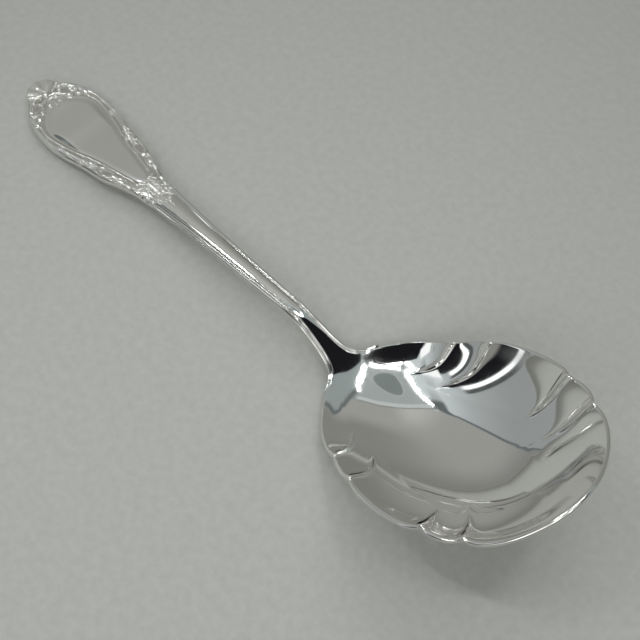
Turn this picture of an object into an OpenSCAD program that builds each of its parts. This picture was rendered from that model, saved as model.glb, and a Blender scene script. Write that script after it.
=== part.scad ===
// Potato serving spoon: a deep oval bowl with a scalloped, flared lip, an arched stem with
// reeded edges and a teardrop handle whose border carries scrolls, beads, a shell crest and a
// lattice boss. Millimetres. The spoon lies as it rests on a table: the heel of the bowl and
// the underside of the handle's tip touch z = 0, and +X runs from the handle to the bowl.

/* [Overall] */
// Length of the spoon measured along the table
spoon_l = 211; // [190:1:235]

/* [Bowl] */
// Width of the bowl across its large side lobes
bowl_w = 59; // [50:1:66]
// Height of the bowl's tip above the table
tip_h = 47; // [42:1:52]
// Metal thickness at the bowl's heel
wall = 1.5; // [1.2:0.1:2]

/* [Stem] */
// Width of the stem at its narrowest place
stem_w = 5.4; // [4.6:0.1:7]
// Width of one reeded rail
rail_w = 1.3; // [1:0.1:1.5]
// Height of a rail above the stem's channel
rail_h = 0.55; // [0.3:0.05:0.9]

/* [Handle] */
// Greatest width of the handle
handle_w = 23.6; // [20:0.2:27]
// How far the plain panel lies below the border
panel_drop = 0.5; // [0.2:0.1:0.8]
// Height of the relief border above the handle
relief_h = 0.8; // [0.5:0.1:1.2]

/* [Hidden] */

kl = spoon_l / 211;     // lengthwise scale of every station below
kb = bowl_w / 59;       // crosswise scale of the bowl
kh = handle_w / 23.6;   // crosswise scale of the handle
silver = [0.80, 0.80, 0.82];

// ---------- curves ----------
function seg(t, x, i = 0) = (i >= len(t) - 2 || x < t[i + 1][0]) ? i : seg(t, x, i + 1);
function slope(t, i) = let (a = max(i - 1, 0), b = min(i + 1, len(t) - 1))
    (t[b][1] - t[a][1]) / (t[b][0] - t[a][0]);
// smooth curve through the pairs of a table
function tab(t, x) = let (i = seg(t, x), h = t[i + 1][0] - t[i][0], u = (x - t[i][0]) / h)
    t[i][1] * (2*u*u*u - 3*u*u + 1) + slope(t, i) * h * (u*u*u - 2*u*u + u)
    + t[i + 1][1] * (3*u*u - 2*u*u*u) + slope(t, i + 1) * h * (u*u*u - u*u);
// smooth plan curve through points, u from 0 to 1
function crv(p, u) = let (n = len(p) - 1, x = min(max(u, 0), 1) * n, i = min(floor(x), n - 1), f = x - i,
    a = p[max(i - 1, 0)], b = p[i], c = p[i + 1], d = p[min(i + 2, n)])
    0.5 * (2*b + (c - a)*f + (2*a - 5*b + 4*c - d)*f*f + (3*b - a - 3*c + d)*f*f*f);
function smooth(x) = let (u = min(max(x, 0), 1)) u * u * (3 - 2 * u);

// ---------- tables, all measured from the handle's tip ----------
// the lip of one side of the bowl, lobe by lobe from the neck to the tip
LOBES = [
    [[138.5, 5.0], [140, 9.0], [142, 13.0], [145, 16.8], [148.5, 19.9], [152, 22.0], [154.5, 23.0], [156, 23.2]],
    [[156, 23.2], [158, 24.6], [160.5, 25.8], [163, 26.6], [164.8, 26.7]],
    [[164.8, 26.7], [167, 27.9], [170.5, 28.8], [176, 29.5], [182, 29.3], [186, 28.3], [187.8, 27.0]],
    [[187.8, 27.0], [190, 27.2], [193, 26.6], [195.5, 25.3], [197, 23.5]],
    [[197, 23.5], [199.5, 22.9], [202.5, 20.8], [205.5, 17.2], [208.2, 12.4], [210.2, 6.4], [210.85, 2.6], [211, 0]]];
STEPS = [12, 6, 14, 8, 14];
// height of the bowl's inside along its middle, and how steeply it rises to the sides
MID_Z = [[134, 4.6], [138.5, 3.4], [143, 2.5], [148, 1.8], [154, 1.5], [160, 1.9], [166, 3.1], [172, 5.0], [178, 7.7],
         [184, 11.1], [190, 15.3], [196, 20.9], [202, 28.6], [207, 37.6], [211, 47], [214, 54.6]];
RISE = [[134, 0.006], [140, 0.0075], [148, 0.0113], [154, 0.0160], [160, 0.0203], [166, 0.0223], [172, 0.0232],
        [178, 0.0239], [184, 0.0248], [190, 0.0258], [196, 0.0266], [204, 0.0270], [214, 0.0271]];
// the smooth line through the notches, which the lobes swell out from
NOTCH_HW = [[138.5, 5], [141, 10.5], [145, 16.4], [150, 20.6], [156, 23.2], [164.8, 26.7], [172, 27.9], [178, 28.1],
            [187.8, 27], [197, 23.5]];
// where the cross lines from the lip meet the middle
FOOT = [[0, 138.5], [1, 149.5], [2, 157.5], [3, 181], [4, 183], [5, 184]];
// top of the handle and the arched stem, their underside, and their half widths
TOP_Z = [[0, 2.5], [6, 2.9], [12, 3.1], [20, 3.3], [28, 3.8], [36, 4.6], [44, 5.4], [52, 6.1], [62, 6.9], [80, 8.4],
         [96, 9.7], [108, 10.7], [116, 11.4], [120, 11.4], [124, 10.4], [128, 8.6], [132, 6.4], [136, 4.3], [138.5, 3.5]];
UNDER_Z = [[0, 0.7], [4, 0.1], [8, 0], [14, 0.2], [20, 0.5], [30, 1.3], [44, 2.7], [62, 4.3], [80, 5.6], [96, 6.7],
           [108, 7.6], [116, 8.2], [120, 8.2], [124, 7.3], [128, 5.7], [132, 3.8], [136, 2.0], [138.5, 1.2]];
STEM_HW = [[62, 4.7], [72, 4.1], [80, 3.65], [88, 3.35], [100, 3.05], [108, 2.85], [116, 2.7], [122, 2.75],
           [128, 3.1], [132, 3.5], [136, 4.3], [138.5, 5.0]];
HANDLE_HW = [[0.2, 1.4], [1.2, 3.3], [3, 4.7], [5.2, 6.0], [6.2, 6.7], [8, 8.1], [10, 9.4], [13, 10.6], [17, 11.4], [22, 11.8],
             [26, 11.7], [30, 11.1], [35, 10.1], [40, 9.3], [44, 8.8], [47, 8.1], [50, 7.1], [53, 6.3], [56, 5.5],
             [59, 5.0], [62, 4.7]];
PANEL_HW = [[0.2, 0.2], [8, 0.4], [11, 2.4], [14, 5.8], [17, 8.2], [20, 8.9], [24, 8.6], [28, 7.8], [32, 7.0], [36, 5.7],
            [40, 4.7], [44, 4.0], [48, 3.3], [52, 2.6], [55, 1.8], [57, 0.8], [62, 0.3]];

// a tenth of the rise to the sides is kept for the last part of the way, so the sides are steepest at the lip
function basin_z(s, w) = let (u = 0.1 * smooth((s - 142) / 20))
    (tab(MID_Z, s) + tab(RISE, s) * w * w * (1 - u + u * pow(w / 27, 4))) * (1 + (tip_h / 47 - 1) * smooth((s - 150) / 50));
function top_z(s) = tab(TOP_Z, s);
function stem_hw(s) = tab(STEM_HW, s) * (s > 137 ? 1 : 1 + (stem_w / 5.4 - 1) * smooth((137 - s) / 10) * smooth((s - 62) / 20));
function handle_hw(s) = tab(HANDLE_HW, s) * (1 + (kh - 1) * smooth((60 - s) / 15));
function panel_hw(s) = tab(PANEL_HW, s) * kh;

// ---------- solids ----------
// a solid through a row of rings, each ring running over the top and back along the underside
module loft(rings, closed = false) {
    n = len(rings); m = len(rings[0]);
    pts = [for (r = rings) for (p = r) [p[0] * kl - spoon_l / 2, p[1], p[2]]];
    side = [for (k = [0 : closed ? n - 1 : n - 2]) for (i = [0 : m - 1])
        let (a = k*m + i, b = k*m + (i + 1) % m, c = ((k + 1) % n)*m + (i + 1) % m, d = ((k + 1) % n)*m + i)
        each [[a, b, c], [a, c, d]]];
    caps = closed ? [] : [[for (i = [m - 1 : -1 : 0]) i], [for (i = [0 : m - 1]) (n - 1)*m + i]];
    polyhedron(points = pts, faces = concat(side, caps), convexity = 6);
}

// a half-round bead along a plan path that lies on the handle or stem
module moulding(path, w0, w1, h0, h1, steps = 14, lift = 0, closed = false) {
    n = steps;
    loft([for (k = [0 : closed ? n - 1 : n]) let (
            u = k / n, e = 0.004,
            p = crv(path, u), q = crv(path, min(u + e, 1)), o = crv(path, max(u - e, 0)),
            t = (q - o) / norm(q - o), nn = [-t[1], t[0]],
            w = w0 + (w1 - w0) * u, h = h0 + (h1 - h0) * u, z = top_z(p[0]) + lift)
        concat([for (a = [0 : 36 : 180]) [p[0] - nn[0]*cos(a)*w/2, p[1] - nn[1]*cos(a)*w/2, z + 0.12 + h*sin(a)]],
               [[p[0] + nn[0]*w/2, p[1] + nn[1]*w/2, z], [p[0] - nn[0]*w/2, p[1] - nn[1]*w/2, z]])], closed);
}

module both_sides() { children(); mirror([0, 1, 0]) children(); }

// the bowl: inside and outside skins joined along the lip and across the neck
RS = [0, 0.14, 0.28, 0.42, 0.55, 0.67, 0.77, 0.85, 0.92, 0.97, 1];
NR = len(RS) - 1;
RIM = concat([for (l = [0 : 4]) for (i = [0 : STEPS[l] - 1]) concat(crv(LOBES[l], i / STEPS[l]), [tab(FOOT, l + i / STEPS[l])])],
             [[211, 0, 184]]);
KN = len(RIM) - 1;
function skin(k, j, out) = let (
    R = RIM[k], r = RS[abs(j)], f = R[2], s = f + (R[0] - f) * r,
    line = R[0] < 197 ? tab(NOTCH_HW, R[0]) : R[1],
    w = line * r, swell = (R[1] - line) * smooth((r - 0.5) / 0.5),
    gs = basin_z(s + 0.5, w) - basin_z(s - 0.5, w), gw = 2 * tab(RISE, s) * w,
    thick = wall * min(2, sqrt(1 + gs*gs + gw*gw)) * (1 - 0.35*smooth((r - 0.85) / 0.15)) + 0.7 * smooth(1 - k / 8))
    [s * kl - spoon_l / 2, (w + swell) * kb * sign(j), max(0, basin_z(s, w) - (out ? thick : 0))];
module bowl() {
    m = 2 * NR + 1;
    inner = concat([for (k = [0 : KN - 1]) for (j = [-NR : NR]) skin(k, j, false)], [for (j = [0 : NR]) skin(KN, j, false)]);
    outer = concat([for (k = [0 : KN - 1]) for (j = [-NR : NR]) skin(k, j, true)], [for (j = [0 : NR]) skin(KN, j, true)]);
    no = len(inner);
    function id(k, j) = k < KN ? k * m + j + NR : KN * m + abs(j);
    faces = concat(
        [for (k = [0 : KN - 1]) for (j = [-NR : NR - 1]) each [[id(k, j), id(k, j + 1), id(k + 1, j + 1)], [id(k, j), id(k + 1, j + 1), id(k + 1, j)]]],
        [for (k = [0 : KN - 1]) for (j = [-NR : NR - 1]) each [[no + id(k, j), no + id(k + 1, j + 1), no + id(k, j + 1)], [no + id(k, j), no + id(k + 1, j), no + id(k + 1, j + 1)]]],
        [for (k = [0 : KN - 1]) each [[id(k, NR), no + id(k, NR), no + id(k + 1, NR)], [id(k, NR), no + id(k + 1, NR), id(k + 1, NR)]]],
        [for (k = [0 : KN - 1]) each [[id(k, -NR), id(k + 1, -NR), no + id(k + 1, -NR)], [id(k, -NR), no + id(k + 1, -NR), no + id(k, -NR)]]],
        [for (j = [-NR : NR - 1]) each [[id(0, j), no + id(0, j), no + id(0, j + 1)], [id(0, j), no + id(0, j + 1), id(0, j + 1)]]]);
    color(silver) polyhedron(points = concat(inner, outer), faces = faces, convexity = 8);
}

// the stem: a shallow channel on top, rounded below
module stem() {
    color(silver) loft([for (i = [0 : 40]) let (
            s = 62 + 76.5 * i / 40, w = stem_hw(s), zt = top_z(s), zu = tab(UNDER_Z, s), d = 0.12)
        [[s, -w, zt - 0.35], [s, -w + 0.25, zt], [s, -w*0.35, zt - d], [s, w*0.35, zt - d], [s, w - 0.25, zt], [s, w, zt - 0.35],
         [s, w*0.92, zu + 0.9], [s, w*0.55, zu], [s, -w*0.55, zu], [s, -w*0.92, zu + 0.9]]]);
}

// reeded rails along both edges of the stem
module stem_rails() {
    edge = [for (s = [64 : 6 : 136]) [s, stem_hw(s) - rail_w / 2 - 0.1]];
    color(silver) both_sides() moulding(edge, rail_w, rail_w, rail_h, rail_h, 30);
}

// the teardrop blade of the handle with its sunken plain panel
module handle_plate() {
    ss = [0.2, 0.6, 1.2, 2, each [3 : 1 : 8], each [9.5 : 1.5 : 20], each [22 : 2 : 62]];
    color(silver) loft([for (s = ss) let (w = handle_hw(s), pw = min(panel_hw(s), w - 0.6), zt = top_z(s), zu = tab(UNDER_Z, s),
            d = panel_drop * smooth((s - 8) / 6) * smooth((58 - s) / 4))
        [[s, -w, zt - 0.5], [s, -w + 0.35, zt], [s, -pw - 0.2, zt], [s, -pw*0.93, zt - d], [s, -pw*0.4, zt - d*1.1],
         [s, pw*0.4, zt - d*1.1], [s, pw*0.93, zt - d], [s, pw + 0.2, zt], [s, w - 0.35, zt], [s, w, zt - 0.5],
         [s, w*0.96, zu + 0.7], [s, w*0.75, zu], [s, -w*0.75, zu], [s, -w*0.96, zu + 0.7]]]);
}

// the shell at the tip: fluted rays and the arch of a scroll beneath them
module crest_shell() {
    color(silver) {
        for (a = [-60 : 20 : 60]) let (c = cos(a), n = sin(a), l = 5.4 - 0.9 * abs(sin(a)))
            moulding([[6.6 - 0.9*c, 1.5*n], [6.6 - l*0.6*c, l*0.6*n], [6.6 - l*c, l*0.95*n]], 0.6, 1.7, 0.5, relief_h, 6);
        moulding([[12.4, 5.2], [11.2, 5.0], [10.4, 3.6], [8.8, 2.6], [7.8, 0], [8.8, -2.6], [10.4, -3.6], [11.2, -5.0], [12.4, -5.2]], 1.1, 1.1, 0.6, 0.6, 24);
    }
}

// leaf scrolls and oval C-scrolls along both edges of the handle
module border_scrolls() {
    color(silver) both_sides() {
        moulding([[7.2, 5.2], [8.2, 6.6], [10.4, 7.6], [12.6, 8.0], [14.6, 9.4]], 1.6, 1.8, relief_h, relief_h, 12);
        moulding([[14.8, 9.6], [18, 10.5], [22, 10.8], [26, 10.6], [30, 9.9], [34.4, 8.7]], 1.9, 1.5, relief_h, 0.6, 18);
        moulding([[17, 8.9], [21, 9.4], [25, 9.2], [29, 8.4], [33, 7.5]], 0.8, 0.8, 0.4, 0.4, 14);
        moulding([[40.2, 7.6], [42, 8.3], [44.5, 8.0], [46.6, 7.0], [47.6, 5.8], [46.6, 4.9], [44.4, 5.3], [42, 6.0], [40.6, 6.8]], 1.1, 1.1, relief_h, relief_h, 26);
        moulding([[48.8, 6.7], [50.6, 6.2], [52.4, 5.6], [53.5, 4.9], [52.4, 4.1], [50.2, 4.4], [48.9, 5.2]], 1.0, 1.0, relief_h, 0.6, 18);
        moulding([[53.8, 5.3], [55.4, 4.6], [57.2, 4.1], [58.6, 3.6]], 1.2, 1.0, relief_h, 0.6, 10);
    }
}

// rows of small domed beads
module border_beads() {
    color(silver) {
        both_sides() {
            for (b = [[36.4, 7.9, 0.9], [38.8, 7.3, 1.0], [36.2, 9.2, 0.7], [47.8, 4.6, 0.7], [55.2, 3.2, 0.6], [11.4, 2.0, 0.7], [62.8, 3.7, 0.8], [60.6, 3.6, 0.7]])
                dome(b[0], b[1], b[2]);
        }
        for (b = [[65.4, 0.8], [67.4, 0.65], [69.2, 0.5]]) dome(b[0], 0, b[1]);
    }
}
// the upper half of a ball, standing on the metal at station s
module dome(s, w, r) {
    translate([s * kl - spoon_l / 2, w, top_z(s)]) intersection() {
        sphere(r = r, $fn = 24);
        translate([-2 * r, -2 * r, -0.15]) cube([4 * r, 4 * r, 4 * r]);
    }
}

// woven lattice between two rings at the foot of the panel
module lattice_boss() {
    color(silver) {
        for (i = [-1 : 1]) {
            moulding([[57.0 + i*1.5, -2.2], [60.0 + i*1.5, 0.0], [62.4 + i*0.7, 2.0]], 0.55, 0.55, 0.5, 0.5, 6);
            moulding([[57.0 + i*1.5, 2.2], [60.0 + i*1.5, 0.0], [62.4 + i*0.7, -2.0]], 0.55, 0.55, 0.5, 0.5, 6);
        }
        both_sides() moulding([[55.4, 1.2], [56.0, 0.4], [57.0, 0.6], [57.2, 1.5], [56.4, 2.2], [55.6, 1.9]], 0.7, 0.7, 0.7, 0.7, 14);
    }
}

bowl();
stem();
stem_rails();
handle_plate();
crest_shell();
border_scrolls();
border_beads();
lattice_boss();
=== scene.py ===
import math
import bpy
import numpy as np
from mathutils import Matrix, Vector


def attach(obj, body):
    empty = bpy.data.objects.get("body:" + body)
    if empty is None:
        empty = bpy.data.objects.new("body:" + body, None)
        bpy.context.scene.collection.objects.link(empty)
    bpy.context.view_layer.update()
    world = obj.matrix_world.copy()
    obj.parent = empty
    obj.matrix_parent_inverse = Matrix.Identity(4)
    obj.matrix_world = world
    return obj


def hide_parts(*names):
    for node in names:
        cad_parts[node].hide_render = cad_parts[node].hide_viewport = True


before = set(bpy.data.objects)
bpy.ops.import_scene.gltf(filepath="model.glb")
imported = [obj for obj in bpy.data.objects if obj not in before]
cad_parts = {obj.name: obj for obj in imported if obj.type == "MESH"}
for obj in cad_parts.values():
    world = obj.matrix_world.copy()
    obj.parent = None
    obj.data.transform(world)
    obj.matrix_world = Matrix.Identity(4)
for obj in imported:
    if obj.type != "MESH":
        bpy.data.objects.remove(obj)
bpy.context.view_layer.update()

scene = bpy.context.scene

# Lengths below are millimetres: s runs along the spoon from the handle's tip, w across it, z up from the table.
HALF = 105.5


# ---------------------------------------------------------------- curves
def spline(t):
    """Natural cubic spline through the pairs of a table, straight beyond its ends."""
    x = np.array([p[0] for p in t], float)
    y = np.array([p[1] for p in t], float)
    n, h = len(x), np.diff(x)
    a, b = np.eye(n), np.zeros(n)
    for i in range(1, n - 1):
        a[i, i - 1:i + 2] = h[i - 1], 2 * (h[i - 1] + h[i]), h[i]
        b[i] = 6 * ((y[i + 1] - y[i]) / h[i] - (y[i] - y[i - 1]) / h[i - 1])
    m = np.linalg.solve(a, b)
    lo = (y[1] - y[0]) / h[0] - h[0] * m[1] / 6
    hi = (y[-1] - y[-2]) / h[-1] + h[-1] * m[-2] / 6

    def f(q):
        q = np.asarray(q, float)
        c = np.clip(q, x[0], x[-1])
        i = np.clip(np.searchsorted(x, c) - 1, 0, n - 2)
        u, v, g = c - x[i], x[i + 1] - c, h[i]
        r = (m[i] * v**3 + m[i + 1] * u**3) / (6 * g) + (y[i] / g - m[i] * g / 6) * v + (y[i + 1] / g - m[i + 1] * g / 6) * u
        return r + np.where(q < x[0], (q - x[0]) * lo, 0) + np.where(q > x[-1], (q - x[-1]) * hi, 0)
    return f


def smoothed(t, sigma):
    """The spline of a table, evened out over about sigma millimetres."""
    f, step = spline(t), 0.05
    xs = np.arange(t[0][0] - 10, t[-1][0] + 10, step)
    k = np.arange(-4 * sigma, 4 * sigma + step, step)
    g = np.exp(-0.5 * (k / sigma) ** 2)
    ys = np.convolve(f(np.concatenate([xs[0] + k[:len(k) // 2], xs, xs[-1] + step + k[len(k) // 2:] + 4 * sigma])), g / g.sum(), "same")
    ys = ys[len(k) // 2:len(k) // 2 + len(xs)]
    return lambda q: np.interp(q, xs, ys)


def curve(points, u):
    """Points at u (0 to 1) on a smooth plan curve through control points, spaced by chord length."""
    p = np.array(points, float)
    d = np.concatenate([[0], np.cumsum(np.sqrt(np.linalg.norm(np.diff(p, axis=0), axis=1)))])
    d /= d[-1]
    return np.stack([spline(list(zip(d, p[:, i])))(u) for i in range(p.shape[1])], -1)


def smooth(x):
    x = np.clip(x, 0, 1)
    return x * x * (3 - 2 * x)


# ---------------------------------------------------------------- the spoon's long lines
# middle line of the upper side, from the foot of the handle through the neck and up the bowl to its tip
MID = smoothed([[40, 5.0], [50, 5.8], [62, 6.75], [80, 8.3], [96, 9.6], [106, 10.4], [113, 11.0], [118, 11.25], [122, 10.8], [126, 9.4],
                [130, 7.4], [134, 5.4], [138.5, 3.6], [143, 2.5], [148, 1.8], [154, 1.5], [160, 1.9], [166, 3.1], [172, 5.0],
                [178, 7.7], [184, 11.1], [190, 15.3], [196, 20.8], [202, 28.4], [207, 37.2], [211, 46.4], [216, 60.0]], 1.6)
# how steeply the upper side rises (or, on the crowned stem, falls) to its edges
RISE = smoothed([[40, -0.022], [62, -0.06], [80, -0.10], [100, -0.125], [118, -0.11], [126, -0.065], [132, -0.022], [136, 0.0], [139, 0.0065],
                 [142, 0.0092], [145, 0.0100], [148, 0.0113], [154, 0.0158], [160, 0.0204], [166, 0.0224], [172, 0.0232], [178, 0.0238],
                 [184, 0.0248], [190, 0.0258], [196, 0.0266], [204, 0.0270], [216, 0.0271]], 2.0)
UNDER = smoothed([[0, 0.5], [5, 0.02], [10, 0.0], [14, 0.15], [20, 0.5], [30, 1.3], [44, 2.7], [62, 4.3], [80, 5.6], [96, 6.7], [108, 7.6],
                  [116, 8.2], [120, 8.1], [124, 7.1], [128, 5.5], [132, 3.8], [136, 2.1], [138.5, 1.25], [142, 0.5]], 0.8)
STEM_HW = smoothed([[56, 5.5], [59, 5.0], [62, 4.7], [72, 4.1], [80, 3.65], [88, 3.35], [100, 3.05], [108, 2.85], [116, 2.7], [122, 2.75],
                    [128, 3.1], [132, 3.5], [135.5, 4.2], [138.5, 5.6], [140, 7.4]], 0.5)


# how much of that rise is kept for the last part of the way, and the half width that it's reckoned from
LATE = smoothed([[136, 0.0], [139, 0.02], [142, 0.12], [145, 0.16], [149, 0.13], [154, 0.09], [158, 0.08], [170, 0.10], [211, 0.10]], 1.5)
WIDE = smoothed([[136, 9.5], [139, 9.5], [142, 12.8], [145, 16.6], [148, 19.8], [156, 23.3], [164.8, 26.7], [172, 28.4], [180, 28.6], [188, 27.2], [197, 26], [211, 26]], 2.0)


def upper(s, w):
    late = LATE(s)
    return MID(s) + RISE(s) * w * w * (1 - late + late * (w / WIDE(s)) ** 4)


def metres(p):
    p = np.asarray(p, float)
    return np.stack([(p[..., 0] - HALF), p[..., 1], p[..., 2]], -1) / 1000


# ---------------------------------------------------------------- mesh making
def make(name, verts, faces, material, sharp=48):
    me = bpy.data.meshes.new(name)
    me.from_pydata([tuple(v) for v in metres(verts)], [], [tuple(int(i) for i in f) for f in faces])
    me.validate()
    me.polygons.foreach_set("use_smooth", [True] * len(me.polygons))
    me.set_sharp_from_angle(angle=math.radians(sharp))
    me.update()
    ob = bpy.data.objects.new(name, me)
    scene.collection.objects.link(ob)
    me.materials.append(material)
    return ob


def attribute(ob, name, values):
    ob.data.attributes.new(name, "FLOAT", "POINT").data.foreach_set("value", np.asarray(values, np.float32).ravel())


def piece(ob, node):
    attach(ob, "root")
    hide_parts(node)


def ring_faces(n, m, base=0):
    """Quads of a tube of n rings of m points, wound to face outwards for rings that run over the top from -w to +w."""
    k, i = np.meshgrid(np.arange(n - 1), np.arange(m), indexing="ij")
    a, b = k * m + i, k * m + (i + 1) % m
    return (np.stack([a, b, b + m, a + m], -1).reshape(-1, 4) + base).tolist()


# ---------------------------------------------------------------- materials
def nodes_of(mat):
    mat.use_nodes = True
    nt = mat.node_tree
    nt.nodes.clear()
    return nt


def link(nt, a, b):
    nt.links.new(a, b)


def node(nt, kind, **props):
    n = nt.nodes.new(kind)
    for k, v in props.items():
        if k.startswith("in_"):
            n.inputs[int(k[3:])].default_value = v
        else:
            setattr(n, k, v)
    return n


def silver(name, rough, bright, warm, scratch, tarnish_and_shade):
    """Polished silver plate: cloudy polish, fine rubbed hairlines, and a darker tone in the hollows that is partly
    tarnish, partly painted shade.
    """
    mat = bpy.data.materials.new(name)
    nt = nodes_of(mat)
    out = node(nt, "ShaderNodeOutputMaterial")
    bsdf = node(nt, "ShaderNodeBsdfPrincipled")
    bsdf.inputs["Metallic"].default_value = 1.0
    link(nt, bsdf.outputs[0], out.inputs[0])
    tc = node(nt, "ShaderNodeTexCoord")
    # cloudy polish
    cloud = node(nt, "ShaderNodeTexNoise")
    cloud.inputs["Scale"].default_value = 55.0
    cloud.inputs["Detail"].default_value = 4.0
    link(nt, tc.outputs["Object"], cloud.inputs["Vector"])
    tone = node(nt, "ShaderNodeValToRGB")
    tone.color_ramp.elements[0].position = 0.30
    tone.color_ramp.elements[0].color = (bright * 0.965, bright * 0.962 - warm * 0.3, bright * 0.95 - warm, 1)
    tone.color_ramp.elements[1].position = 0.72
    tone.color_ramp.elements[1].color = (bright, bright - warm * 0.25, bright - warm * 0.8, 1)
    link(nt, cloud.outputs["Fac"], tone.inputs["Fac"])
    # darker tone in the hollows of the relief, from the mesh's own depth attribute: partly tarnish, partly painted
    # shade
    hollow = node(nt, "ShaderNodeAttribute", attribute_name="hollow")
    dark = node(nt, "ShaderNodeMix", data_type="RGBA")
    dark.inputs["B"].default_value = tarnish_and_shade
    dark.clamp_factor = True
    specks = node(nt, "ShaderNodeTexNoise")
    specks.inputs["Scale"].default_value = 900.0
    specks.inputs["Detail"].default_value = 3.0
    link(nt, tc.outputs["Object"], specks.inputs["Vector"])
    uneven = node(nt, "ShaderNodeMapRange", in_1=0.25, in_2=0.75, in_3=0.55, in_4=1.0)
    link(nt, specks.outputs["Fac"], uneven.inputs[0])
    amount = node(nt, "ShaderNodeMath", operation="MULTIPLY")
    link(nt, hollow.outputs["Fac"], amount.inputs[0])
    link(nt, uneven.outputs[0], amount.inputs[1])
    link(nt, amount.outputs[0], dark.inputs["Factor"])
    link(nt, tone.outputs["Color"], dark.inputs["A"])
    link(nt, dark.outputs["Result"], bsdf.inputs["Base Color"])
    # hairlines rubbed along the spoon and across it
    lines = []
    for sx, sy, seed in ((60.0, 5200.0, 0.0), (4300.0, 90.0, 3.7)):
        mp = node(nt, "ShaderNodeMapping")
        mp.inputs["Scale"].default_value = (sx, sy, 400.0)
        mp.inputs["Location"].default_value = (seed, seed, seed)
        mp.inputs["Rotation"].default_value = (0, 0, 0.25 + seed)
        link(nt, tc.outputs["Object"], mp.inputs["Vector"])
        nz = node(nt, "ShaderNodeTexNoise")
        nz.inputs["Scale"].default_value = 1.0
        nz.inputs["Detail"].default_value = 2.0
        link(nt, mp.outputs[0], nz.inputs["Vector"])
        lines.append(nz.outputs["Fac"])
    both = node(nt, "ShaderNodeMath", operation="MULTIPLY")
    link(nt, lines[0], both.inputs[0])
    link(nt, lines[1], both.inputs[1])
    hair = node(nt, "ShaderNodeMapRange", in_1=0.16, in_2=0.42, in_3=rough, in_4=rough + scratch)
    link(nt, both.outputs[0], hair.inputs[0])
    haze = node(nt, "ShaderNodeMapRange", in_1=0.35, in_2=0.8, in_3=0.0, in_4=scratch * 0.8)
    link(nt, cloud.outputs["Fac"], haze.inputs[0])
    total = node(nt, "ShaderNodeMath", operation="ADD")
    link(nt, hair.outputs[0], total.inputs[0])
    link(nt, haze.outputs[0], total.inputs[1])
    dull = node(nt, "ShaderNodeMath", operation="MULTIPLY_ADD", in_1=0.22)
    link(nt, hollow.outputs["Fac"], dull.inputs[0])
    link(nt, total.outputs[0], dull.inputs[2])
    link(nt, dull.outputs[0], bsdf.inputs["Roughness"])
    bump = node(nt, "ShaderNodeBump")
    bump.inputs["Strength"].default_value = 0.012
    bump.inputs["Distance"].default_value = 0.00002
    link(nt, both.outputs[0], bump.inputs["Height"])
    link(nt, bump.outputs[0], bsdf.inputs["Normal"])
    return mat


# the last colour of each is the hollow tone: tarnish, with painted shade where the relief meets its ground
POLISHED = silver("polished_silver", 0.02, 0.90, 0.02, 0.045, (0.50, 0.48, 0.40, 1))
RELIEF = silver("relief_silver", 0.13, 0.95, 0.02, 0.05, (0.52, 0.49, 0.38, 1))

# ---------------------------------------------------------------- bowl
# the lip of one side, lobe by lobe from the neck to the tip, and the smooth line that the lobes swell out from
LOBES = [
    [[138.5, 5.6], [139.4, 7.2], [140.6, 9.7], [142, 12.7], [145, 16.8], [148.5, 19.9], [152, 22.0], [154.5, 23.0], [156, 23.2]],
    [[156, 23.2], [158, 24.6], [160.5, 25.8], [163, 26.6], [164.8, 26.7]],
    [[164.8, 26.7], [167, 27.9], [170.5, 28.8], [176, 29.5], [182, 29.3], [186, 28.3], [187.8, 27.0]],
    [[187.8, 27.0], [190, 27.2], [193, 26.6], [195.5, 25.3], [197, 23.5]],
    [[197, 23.5], [199.5, 22.9], [202.5, 20.8], [205.5, 17.2], [208.2, 12.4], [210.3, 6.4], [211, 0]]]
LINE = [
    [[138.5, 5.6], [139.4, 7.2], [140.6, 9.7], [142, 12.6], [145, 16.5], [148.5, 19.5], [152, 21.6], [154.5, 22.7], [156, 23.2]],
    [[156, 23.2], [158, 24.1], [160.5, 25.15], [163, 26.1], [164.8, 26.7]],
    [[164.8, 26.7], [167, 27.3], [170.5, 27.9], [176, 28.3], [182, 28.0], [186, 27.4], [187.8, 27.0]],
    [[187.8, 27.0], [190, 26.4], [193, 25.4], [195.5, 24.2], [197, 23.5]],
    [[197, 23.5], [199.2, 22.2], [202.1, 20.0], [205.2, 16.6], [208.0, 12.0], [210.2, 6.2], [211, 0]]]
STEPS = [44, 34, 56, 34, 60]
# by lobe number: where the cross lines start on the middle line, how far they bow towards the tip,
# and the width and depth of the flared lip
FOOT = spline([[0, 138.5], [0.5, 144.5], [1, 149.5], [2, 157.5], [3, 181], [4, 184.5], [5, 194]])
BOW = spline([[0, 0], [0.5, 0.7], [1, 1.9], [2, 2.5], [2.5, 1.6], [3, 0.8], [4, 1.2], [5, 0]])
FLARE_W = spline([[0, 3], [1, 3], [2, 3.2], [3, 3.6], [4, 4], [5, 4.2]])
FLARE_H = spline([[0, 0.0], [1, 0.15], [2, 0.3], [3, 0.5], [4, 0.8], [5, 1.0]])


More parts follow.
